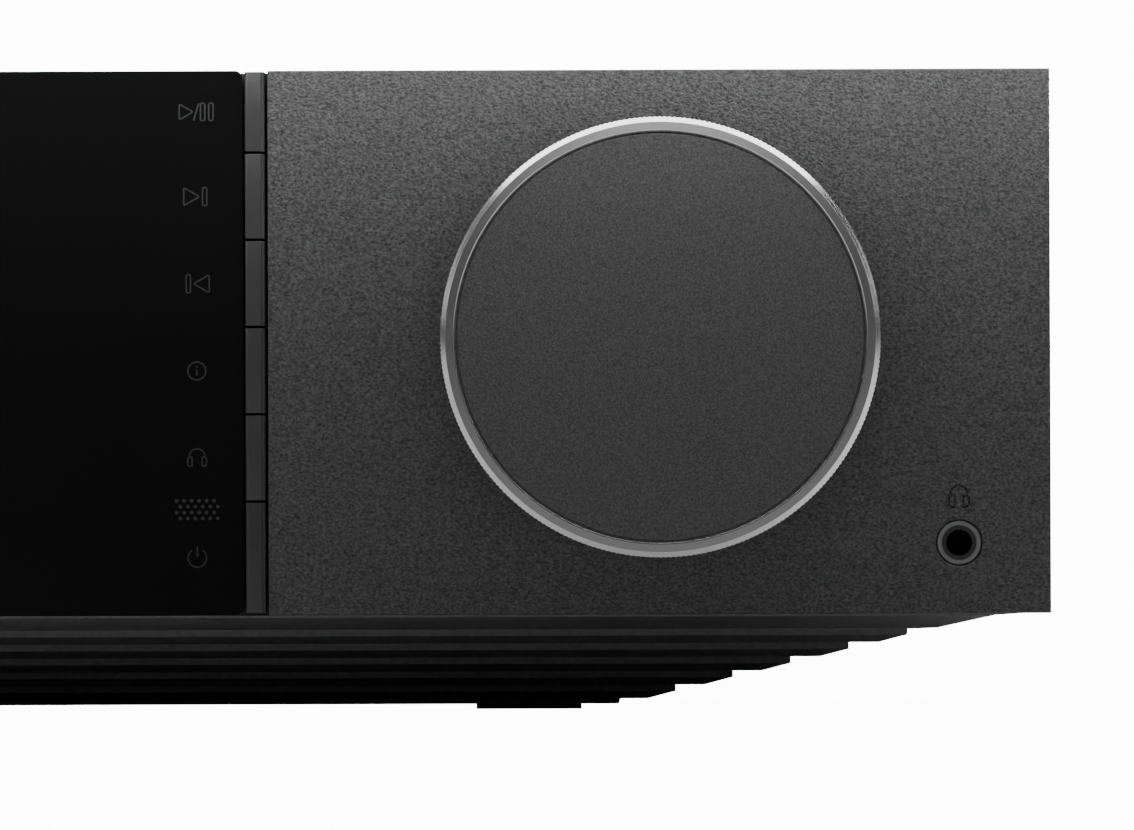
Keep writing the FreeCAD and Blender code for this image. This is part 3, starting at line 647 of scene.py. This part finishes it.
# ---- fascia and headphone socket -----------------------------------------------------------
def headphone_symbol(x, z, y, depth, width):
    """Cutter in the outline of a pair of headphones."""
    bm = bmesh.new()
    strip(bm, arc(x, z, 1.15 * MM, -10, 190, 18), width, y, depth, closed=False)
    for side in (-1, 1):
        cup = [
            (x + side * 0.60 * MM, z - 0.25 * MM),
            (x + side * 1.00 * MM, z - 0.25 * MM),
            (x + side * 1.40 * MM, z - 0.50 * MM),
            (x + side * 1.40 * MM, z - 1.55 * MM),
            (x + side * 1.00 * MM, z - 1.85 * MM),
            (x + side * 0.60 * MM, z - 1.85 * MM),
        ]
        strip(bm, cup, width, y, depth)
    return mesh_from(bm, "headphone_cutter")


def engraved_fascia():
    """Fascia with the headphone outline cut into it above the socket."""
    bm = bmesh.new()
    bm.from_mesh(frame["nodes"]["fascia_panel"].data)
    bmesh.ops.remove_doubles(bm, verts=bm.verts, dist=0.001 * MM)
    for face in bm.faces:
        face.material_index = 0
    mesh = mesh_from(bm, "engraved_fascia", 30.0)
    piece = new_piece(
        "engraved_fascia",
        mesh,
        [MATERIALS["fascia_grey"]],
        "case",
        "fascia_panel",
    )
    cutter_mesh = headphone_symbol(
        JACK.x, JACK.z + 6.8 * MM, FRONT_Y - 0.5 * MM, 0.9 * MM, 0.3 * MM
    )
    cutter = bpy.data.objects.new("cutter", cutter_mesh)
    bpy.context.scene.collection.objects.link(cutter)
    cut = piece.modifiers.new("engrave", "BOOLEAN")
    cut.operation = "DIFFERENCE"
    cut.solver = "EXACT"
    cut.use_self = True
    cut.object = cutter
    graph = bpy.context.evaluated_depsgraph_get()
    result = bpy.data.meshes.new_from_object(piece.evaluated_get(graph))
    piece.modifiers.clear()
    bpy.data.objects.remove(cutter)
    bm = bmesh.new()
    bm.from_mesh(result)
    for face in bm.faces:
        face.material_index = 0
    piece.data = mesh_from(bm, "engraved_fascia_cut", 20.0)
    piece.data.materials.append(MATERIALS["fascia_grey"])


def jack_ring():
    """Nickel collar of the headphone socket: flat face, bright edge and stepped lead-in."""
    low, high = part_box("jack_collar")
    outer = (high.x - low.x) / 2
    front = low.y
    bm = bmesh.new()
    outline = [
        (outer, high.y - front),
        (outer, 0.10 * MM),
        (outer - 0.08 * MM, 0.0),
        (outer - 0.62 * MM, 0.0),
        (outer - 0.70 * MM, 0.10 * MM),
        (outer - 0.70 * MM, 0.45 * MM),
        (outer - 0.63 * MM, 0.55 * MM),
        (outer - 0.63 * MM, high.y - front),
    ]
    place = (JACK.x, front, JACK.z)
    spin(bm, place, (0, 1, 0), outline, 96)
    inner, bore = outer - 0.72 * MM, 1.83 * MM
    mouth = [
        (inner, 0.6 * MM),
        (inner, 0.12 * MM),
        (inner - 0.06 * MM, 0.04 * MM),
        (inner - 0.22 * MM, 0.04 * MM),
        (inner - 0.26 * MM, 0.16 * MM),
        (inner - 0.40 * MM, 0.18 * MM),
        (bore, 0.45 * MM),
        (bore, 0.6 * MM),
    ]
    spin(bm, place, (0, 1, 0), mouth, 96, material=1)
    new_piece(
        "jack_ring",
        mesh_from(bm, "jack_ring", 25.0),
        [MATERIALS["jack_grey"], MATERIALS["jack_cut"]],
        "case",
        "jack_collar",
    )


# ---- rear fittings -------------------------------------------------------------------------
def screw_head(bm, place, axis, radius):
    """Low domed head with a six-sided recess."""
    recess = 0.5 * radius

    def six_sided(angle, reach):
        if reach > recess * 1.01:
            return reach
        turn = (angle + math.pi / 6) % (math.pi / 3) - math.pi / 6
        return reach * math.cos(math.pi / 6) / math.cos(turn)

    outline = [
        (0.0005 * radius, -0.05 * radius),
        (radius, -0.05 * radius),
        (radius, 0.15 * radius),
        (0.93 * radius, 0.32 * radius),
        (0.70 * radius, 0.45 * radius),
        (recess, 0.47 * radius),
        (recess * 0.98, 0.12 * radius),
        (0.0005 * radius, 0.12 * radius),
    ]
    spin(bm, place, axis, outline, 24, shape=six_sided)


def screws():
    """Screws of the rear panel, the terminal plate and the underside."""
    rear_low, rear_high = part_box("rear_panel")
    plate_low, plate_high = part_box("terminal_plate")
    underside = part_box("plinth")[0].z
    rear, down = (0, 1, 0), (0, 0, -1)
    side_inset, edge_inset = 8 * MM, 5 * MM
    sunk = 0.5 * MM
    bm = bmesh.new()
    for x in (rear_low.x + side_inset, -40 * MM, 66 * MM, rear_high.x - side_inset):
        for z in (rear_low.z + edge_inset, rear_high.z - edge_inset):
            screw_head(bm, (x, rear_high.y, z), rear, 2.6 * MM)
    for x in (plate_low.x + edge_inset, plate_high.x - edge_inset):
        for z in (plate_low.z + edge_inset, plate_high.z - edge_inset):
            screw_head(bm, (x, plate_high.y, z), rear, 1.8 * MM)
    for x, z in ((-40, 45), (-48, 45), (12, 27), (45, 43)):
        screw_head(bm, (x * MM, rear_high.y, z * MM), rear, 1.6 * MM)
    for x in (-60 * MM, 0.0, 60 * MM):
        for y in (-60 * MM, 58 * MM):
            screw_head(bm, (x, y, underside + sunk), down, 1.4 * MM)
    new_piece(
        "case_screws",
        mesh_from(bm, "case_screws", 35.0),
        [MATERIALS["screw_black"]],
        "case",
    )


def threaded(length, outer, depth, pitch, start):
    """Outline points down a thread, as (radius, distance)."""
    turns = int((length - start) / pitch)
    points = []
    for turn in range(turns):
        at = start + turn * pitch
        points += [(outer - depth, at), (outer, at + 0.45 * pitch), (outer, at + 0.55 * pitch)]
    points.append((outer - depth, start + turns * pitch))
    return points


def tube_outline(inner, outer, length, depth, pitch, thread_start):
    """Section of a threaded tube that starts at 0 along its axis."""
    return (
        [(inner, length), (inner, 0.0), (outer, 0.0), (outer, thread_start - 0.1 * MM)]
        + threaded(length - 0.3 * MM, outer, depth, pitch, thread_start)
        + [(outer - depth, length)]
    )


def post_places():
    return [centre("terminal_cap_%d" % number) for number in (1, 2, 3, 4)]


def threaded_posts():
    """Speaker posts with a thread outside the panel."""
    low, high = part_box("speaker_posts")
    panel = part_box("rear_panel")[1].y
    length = high.y - low.y
    bm = bmesh.new()
    outer, inner = 2.9 * MM, 2.0 * MM
    for place in post_places():
        outline = tube_outline(inner, outer, length, 0.25 * MM, 0.7 * MM, panel - low.y + 3 * MM)
        spin(bm, (place.x, low.y, place.z), (0, 1, 0), outline, 48)
    new_piece(
        "threaded_posts",
        mesh_from(bm, "threaded_posts", 30.0),
        [MATERIALS["contact_gold"]],
        "case",
        "speaker_posts",
    )


def fluted_caps():
    """Moulded screw caps with finger flutes and a groove round them."""
    flutes = 16
    slots = {row["node"]: row["material_slot"] for row in frame["record"]["subparts"]}
    for number in (1, 2, 3, 4):
        node = "terminal_cap_%d" % number
        low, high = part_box(node)
        middle = (low + high) / 2
        length = high.y - low.y
        outer = (high.x - low.x) / 2 - 0.05 * MM
        bore = 3.0 * MM
        depth = 0.45 * MM

        def scallop(angle, radius):
            if radius < outer - 0.9 * MM:
                return radius
            return radius - depth * (0.5 + 0.5 * math.cos(flutes * angle)) ** 2

        outline = [
            (bore, 0.0),
            (outer - 0.3 * MM, 0.0),
            (outer, 0.3 * MM),
            (outer, 3.0 * MM),
            (outer - 0.95 * MM, 3.3 * MM),
            (outer - 0.95 * MM, 4.3 * MM),
            (outer, 4.6 * MM),
            (outer, length - 0.9 * MM),
            (outer - 0.35 * MM, length - 0.3 * MM),
            (outer - 0.95 * MM, length),
            (bore + 0.5 * MM, length),
            (bore, length - 0.5 * MM),
        ]
        bm = bmesh.new()
        spin(bm, (middle.x, low.y, middle.z), (0, 1, 0), outline, flutes * 8, 0, scallop)
        slot = slots[node]
        new_piece(
            "fluted_cap_%d" % number,
            mesh_from(bm, "fluted_cap_%d" % number, 40.0),
            [MATERIALS[slot]],
            "cap_%d" % number,
            node,
        )


def phono_places():
    """Centres of the phono sockets."""
    low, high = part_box("rca_sockets")
    flange = 5.35 * MM
    return [
        (x, z)
        for x in (low.x + flange, high.x - flange)
        for z in (low.z + flange, high.z - flange)
    ]


def phono_inserts():
    """Insulating rings round the phono sockets' holes: white for left, red for right."""
    low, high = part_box("rca_sockets")
    bm = bmesh.new()
    for x, z in phono_places():
        colour = 0 if z > (low.z + high.z) / 2 else 1
        collar = [
            (4.2 * MM, 0.0),
            (5.9 * MM, 0.0),
            (5.9 * MM, 0.7 * MM),
            (5.5 * MM, 1.1 * MM),
            (4.2 * MM, 1.1 * MM),
        ]
        spin(bm, (x, low.y + 0.98 * MM, z), (0, 1, 0), collar, 48, colour)
        face = [
            (1.62 * MM, 0.0),
            (3.4 * MM, 0.0),
            (3.4 * MM, 0.12 * MM),
            (1.62 * MM, 0.12 * MM),
        ]
        spin(bm, (x, high.y - 0.02 * MM, z), (0, 1, 0), face, 48, colour)
    new_piece(
        "phono_inserts",
        mesh_from(bm, "phono_inserts", 30.0),
        [MATERIALS["insulator_white"], MATERIALS["insulator_red"]],
        "case",
    )


def antenna_barrels():
    """Threaded barrels with an insulator and a centre contact."""
    low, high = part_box("antenna_sockets")
    length = high.y - low.y
    outer, inner = 3.1 * MM, 2.2 * MM
    bm = bmesh.new()
    for x in (low.x + outer, high.x - outer):
        z = (low.z + high.z) / 2
        base = (x, low.y, z)
        outline = tube_outline(inner, outer, length, 0.2 * MM, 0.6 * MM, 1.8 * MM)
        spin(bm, base, (0, 1, 0), outline, 48)
        nut = [(outer, 0.0), (4.6 * MM, 0.0), (4.6 * MM, 1.5 * MM), (outer, 1.5 * MM)]
        spin(bm, base, (0, 1, 0), nut, 6)
        core = [(0.6 * MM, 0.0), (inner, 0.0), (inner, 2.0 * MM), (0.6 * MM, 2.0 * MM)]
        spin(bm, base, (0, 1, 0), core, 32, 1)
        pin = [(0.01 * MM, 0.0), (0.6 * MM, 0.0), (0.6 * MM, 5.0 * MM), (0.01 * MM, 5.4 * MM)]
        spin(bm, base, (0, 1, 0), pin, 16)
    new_piece(
        "antenna_barrels",
        mesh_from(bm, "antenna_barrels", 30.0),
        [MATERIALS["contact_gold"], MATERIALS["insulator_white"]],
        "case",
        "antenna_sockets",
    )


def network_contacts():
    """Eight sprung contacts of the network socket."""
    low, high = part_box("ethernet_socket")
    middle = (low + high) / 2
    bm = bmesh.new()
    contacts, pitch, width = 8, 1.02 * MM, 0.4 * MM
    for contact in range(contacts):
        x = middle.x + (contact - (contacts - 1) / 2) * pitch
        run = [
            (high.y - 3.2 * MM, high.z - 1.1 * MM),
            (high.y - 3.2 * MM, high.z - 1.5 * MM),
            (high.y - 12.0 * MM, high.z - 5.2 * MM),
            (high.y - 12.4 * MM, high.z - 4.8 * MM),
        ]
        prism(bm, [(x - width / 2, y, z) for y, z in run], (width, 0, 0))
    new_piece(
        "network_contacts",
        mesh_from(bm, "network_contacts", 30.0),
        [MATERIALS["contact_gold"]],
        "case",
    )


# ---- light, floor and camera ---------------------------------------------------------------
def show_to_camera(tree, plain, seen, output):
    """Gives camera rays the `seen` shader and all other rays the `plain` one."""
    path = tree.nodes.new("ShaderNodeLightPath")
    mix = tree.nodes.new("ShaderNodeMixShader")
    tree.links.new(path.outputs["Is Camera Ray"], mix.inputs["Fac"])
    tree.links.new(plain.outputs[0], mix.inputs[1])
    tree.links.new(seen.outputs[0], mix.inputs[2])
    tree.links.new(mix.outputs[0], tree.nodes[output].inputs["Surface"])


def stage():
    """Pale floor that looks like white paper to the camera."""
    floor_mesh = bpy.data.meshes.new("floor")
    bm = bmesh.new()
    bmesh.ops.create_grid(bm, x_segments=1, y_segments=1, size=12.0)
    bm.to_mesh(floor_mesh)
    bm.free()
    paint = Surface("floor_pale", (0.8, 0.8, 0.8), 0.8)
    speckle = paint.noise(30 * MM, detail=2.0)
    paint.tint(speckle, 0.99, 1.01)
    tree = paint.tree
    paper = tree.nodes.new("ShaderNodeEmission")
    paper.inputs["Strength"].default_value = PAPER_WHITE
    both = tree.nodes.new("ShaderNodeAddShader")
    tree.links.new(paint.shader.outputs[0], both.inputs[0])
    tree.links.new(paper.outputs[0], both.inputs[1])
    show_to_camera(tree, paint.shader, both, "Material Output")
    floor_mesh.materials.append(paint.material)
    floor = bpy.data.objects.new("floor", floor_mesh)
    bpy.context.scene.collection.objects.link(floor)


def area_light(name, place, target, size, power):
    data = bpy.data.lights.new(name, "AREA")
    data.shape = "RECTANGLE"
    data.size, data.size_y = size
    data.energy = power
    lamp = bpy.data.objects.new(name, data)
    lamp.location = place
    lamp.rotation_euler = (Vector(target) - Vector(place)).to_track_quat("-Z", "Y").to_euler()
    lamp.visible_camera = False
    bpy.context.scene.collection.objects.link(lamp)


def lights():
    """Wide light overhead, a strip over the top edge, two weak fills and a dim room."""
    area_light("overhead", (0.09, 0.04, 1.3), (0.09, 0.04, 0), (2.4, 0.7), 22)
    area_light("top_strip", (0.09, -0.205, 0.120), (0.09, -0.158, 0.120), (0.9, 0.02), 0.56)
    area_light("fill_left", (-1.3, -1.4, 0.35), (0, -0.1, 0.03), (0.9, 0.9), 0.12)
    area_light("fill_right", (1.5, -1.4, 0.35), (0, -0.1, 0.03), (0.9, 0.9), 0.12)
    world = bpy.data.worlds.new("studio")
    bpy.context.scene.world = world
    world.use_nodes = True
    tree = world.node_tree
    room = tree.nodes["Background"]
    room.inputs["Color"].default_value = (1, 1, 1, 1)
    room.inputs["Strength"].default_value = 0.035
    seen = tree.nodes.new("ShaderNodeBackground")
    seen.inputs["Color"].default_value = (1, 1, 1, 1)
    seen.inputs["Strength"].default_value = PAPER_WHITE + 1.0
    show_to_camera(tree, room, seen, "World Output")


def camera():
    """Long lens, almost square on to the right half of the front, just above the floor."""
    distance = 2.0
    pixels = 1134
    focal_pixels = 14422
    yaw, pitch, roll = math.radians(-0.30), math.radians(0.89), math.radians(-0.184)
    data = bpy.data.cameras.new("camera")
    data.sensor_width = 36.0
    data.lens = 36.0 * focal_pixels / pixels
    data.clip_start = 0.05
    data.clip_end = 60.0
    view = bpy.data.objects.new("camera", data)
    forward = Vector(
        (math.sin(yaw) * math.cos(pitch), math.cos(yaw) * math.cos(pitch), math.sin(pitch))
    )
    right = Vector((math.cos(yaw), -math.sin(yaw), 0))
    up = right.cross(forward)
    right, up = (
        math.cos(roll) * right + math.sin(roll) * up,
        -math.sin(roll) * right + math.cos(roll) * up,
    )
    turn = Matrix((right, up, -forward)).transposed()
    place = Vector((0.1019, FRONT_Y - distance, 0.010))
    view.matrix_world = Matrix.Translation(place) @ turn.to_4x4()
    bpy.context.scene.collection.objects.link(view)
    bpy.context.scene.camera = view


# ---- the model -----------------------------------------------------------------------------
dress_cad_nodes()
knurled_ring()
keys()
display_symbols()
engraved_fascia()
jack_ring()
screws()
threaded_posts()
fluted_caps()
phono_inserts()
antenna_barrels()
network_contacts()
stage()
lights()
camera()
